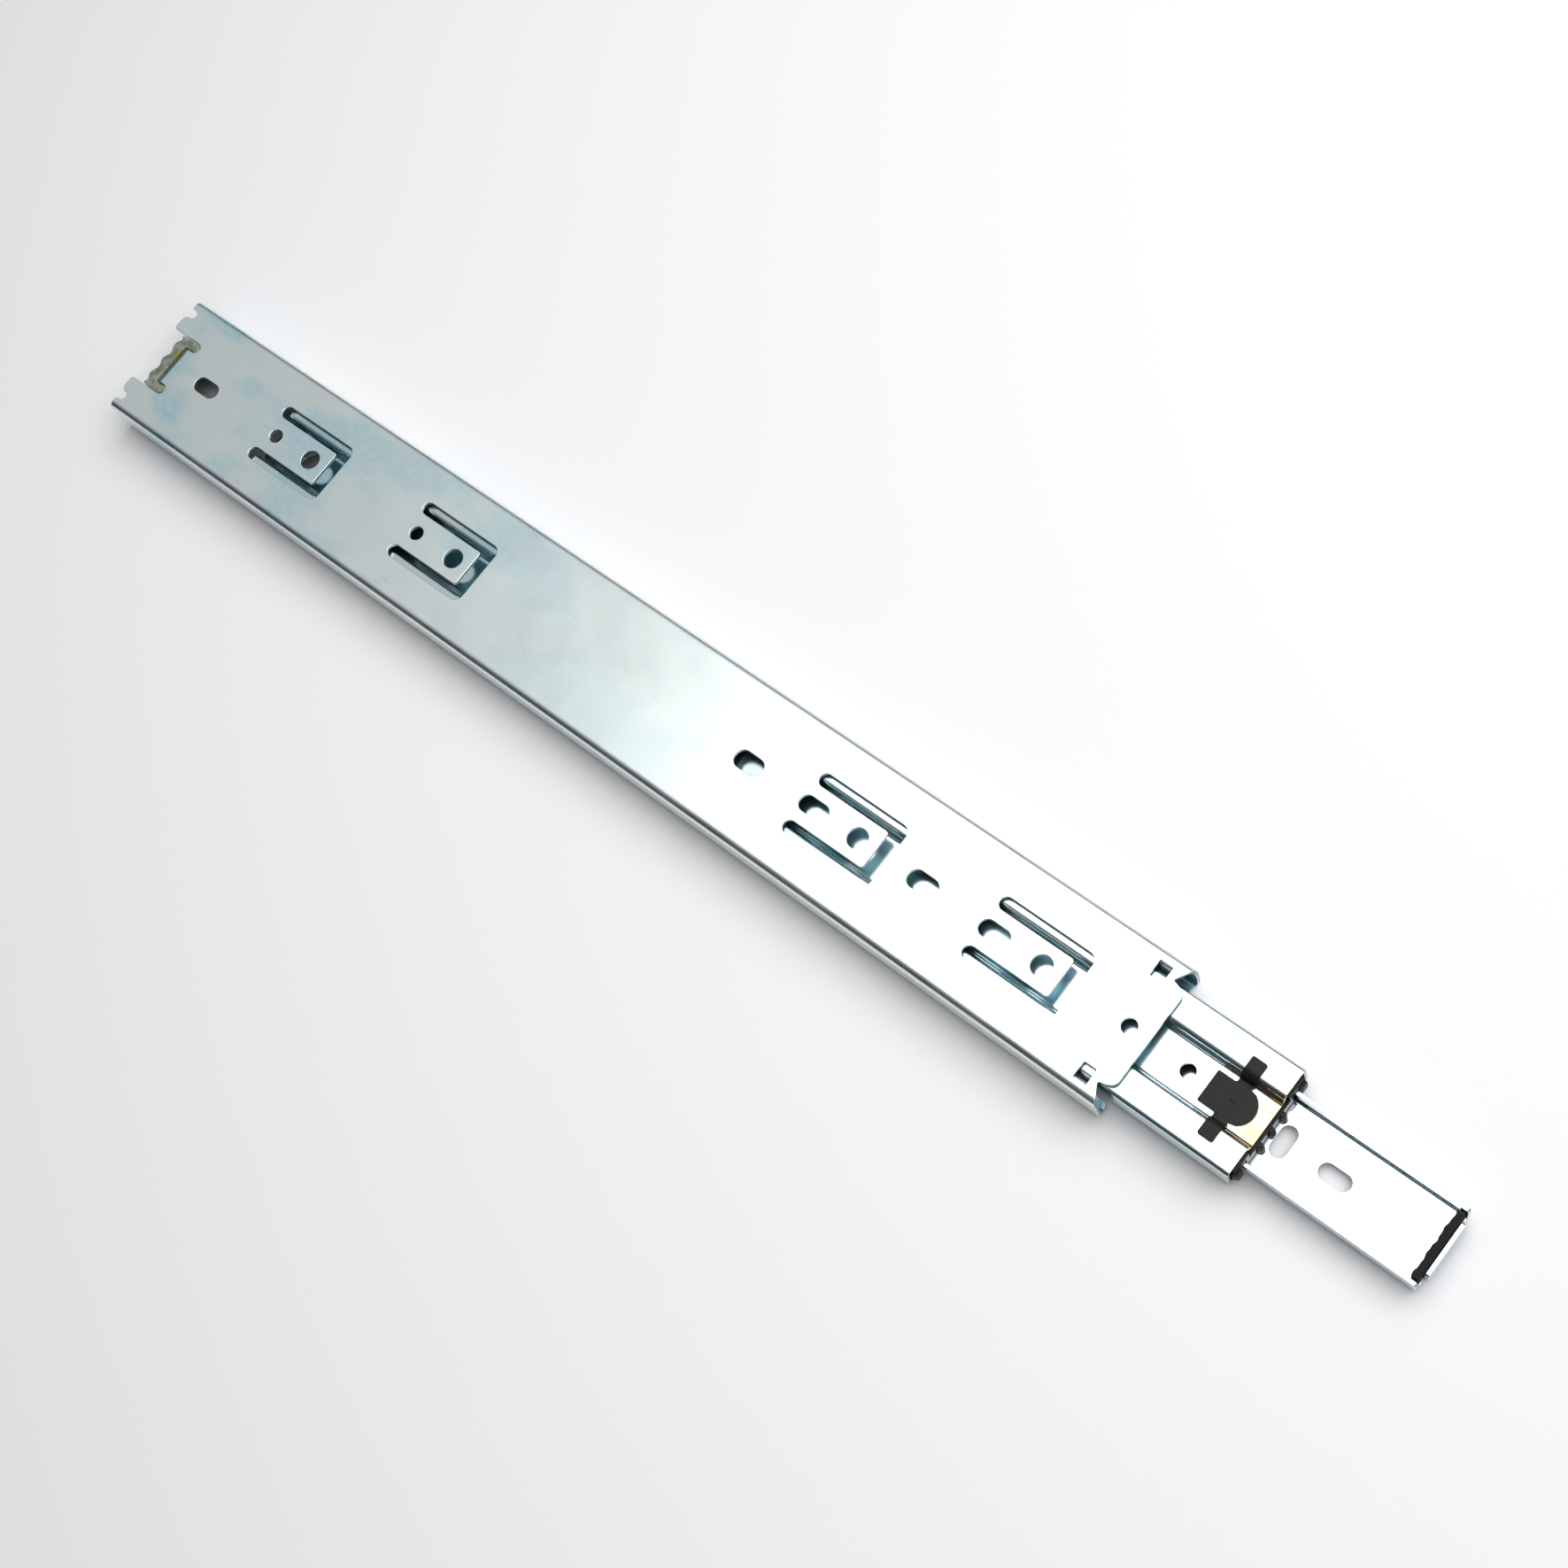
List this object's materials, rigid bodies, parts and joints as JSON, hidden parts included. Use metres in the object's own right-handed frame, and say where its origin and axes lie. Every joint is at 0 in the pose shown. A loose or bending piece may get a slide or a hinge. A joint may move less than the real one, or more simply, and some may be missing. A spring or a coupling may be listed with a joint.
{
  "type": "cabinet drawer slide",
  "caption": "Three-section full-extension ball-bearing drawer slide of zinc-plated sheet steel, with lanced mounting tabs, plastic bumpers and ball cages, partly drawn out.",
  "frame": {"origin": "middle of the cabinet member's flat back face", "axes": "+X towards the opening end, +Y across the slide, +Z out of the cabinet member's back face"},
  "size_m": [0.4889, 0.0454, 0.0127],
  "materials": {
    "zinc": "bright zinc plate, satin with a mirror-like inside",
    "cage_steel": "bright rolled steel",
    "ball_steel": "polished",
    "black_plastic": "moulded, fine grain",
    "grey_plastic": "translucent grey-olive, moulded",
    "rubber": "matt black"
  },
  "bodies": {
    "cabinet": {"cabinet_member": "zinc", "rear_bumper": "grey_plastic"},
    "intermediate": {"intermediate_member": "zinc", "stop_clip": "black_plastic", "front_bumper": "black_plastic"},
    "drawer": {"drawer_member": "zinc", "drawer_end_bumper": "rubber", "lever_rivet": "cage_steel"},
    "release_lever": {"release_lever": "black_plastic"},
    "outer_cage": {"outer_cage": "cage_steel", "outer_ball_left_01": "ball_steel", "outer_ball_left_02": "ball_steel", "outer_ball_left_03": "ball_steel", "outer_ball_left_04": "ball_steel", "outer_ball_left_05": "ball_steel", "outer_ball_left_06": "ball_steel", "outer_ball_left_07": "ball_steel", "outer_ball_left_08": "ball_steel", "outer_ball_left_09": "ball_steel", "outer_ball_left_10": "ball_steel", "outer_ball_right_01": "ball_steel", "outer_ball_right_02": "ball_steel", "outer_ball_right_03": "ball_steel", "outer_ball_right_04": "ball_steel", "outer_ball_right_05": "ball_steel", "outer_ball_right_06": "ball_steel", "outer_ball_right_07": "ball_steel", "outer_ball_right_08": "ball_steel", "outer_ball_right_09": "ball_steel", "outer_ball_right_10": "ball_steel"},
    "inner_cage": {"inner_cage": "cage_steel", "inner_ball_left_01": "ball_steel", "inner_ball_left_02": "ball_steel", "inner_ball_left_03": "ball_steel", "inner_ball_left_04": "ball_steel", "inner_ball_left_05": "ball_steel", "inner_ball_left_06": "ball_steel", "inner_ball_left_07": "ball_steel", "inner_ball_left_08": "ball_steel", "inner_ball_left_09": "ball_steel", "inner_ball_left_10": "ball_steel", "inner_ball_right_01": "ball_steel", "inner_ball_right_02": "ball_steel", "inner_ball_right_03": "ball_steel", "inner_ball_right_04": "ball_steel", "inner_ball_right_05": "ball_steel", "inner_ball_right_06": "ball_steel", "inner_ball_right_07": "ball_steel", "inner_ball_right_08": "ball_steel", "inner_ball_right_09": "ball_steel", "inner_ball_right_10": "ball_steel"}
  },
  "joints": [
    {"name": "intermediate_slide", "type": "slide", "parent": "cabinet", "child": "intermediate", "axis": [1, 0, 0], "range_m": [-0.0429, 0.1571]},
    {"name": "outer_cage_slide", "type": "slide", "parent": "cabinet", "child": "outer_cage", "axis": [1, 0, 0], "range_m": [-0.02145, 0.07855]},
    {"name": "drawer_slide", "type": "slide", "parent": "intermediate", "child": "drawer", "axis": [1, 0, 0], "range_m": [-0.047, 0.153]},
    {"name": "inner_cage_slide", "type": "slide", "parent": "intermediate", "child": "inner_cage", "axis": [1, 0, 0], "range_m": [-0.0235, 0.0765]},
    {"name": "release_lever_pivot", "type": "hinge", "parent": "drawer", "child": "release_lever", "pos_m": [0.0298, 0, -0.0112], "axis": [0, 0, 1], "range_deg": [0, 6], "stiffness_Nm_per_rad": 0.05}
  ],
  "couplings": [
    {"joint": "outer_cage_slide", "follows": "intermediate_slide", "ratio": 0.5},
    {"joint": "inner_cage_slide", "follows": "drawer_slide", "ratio": 0.5}
  ]
}
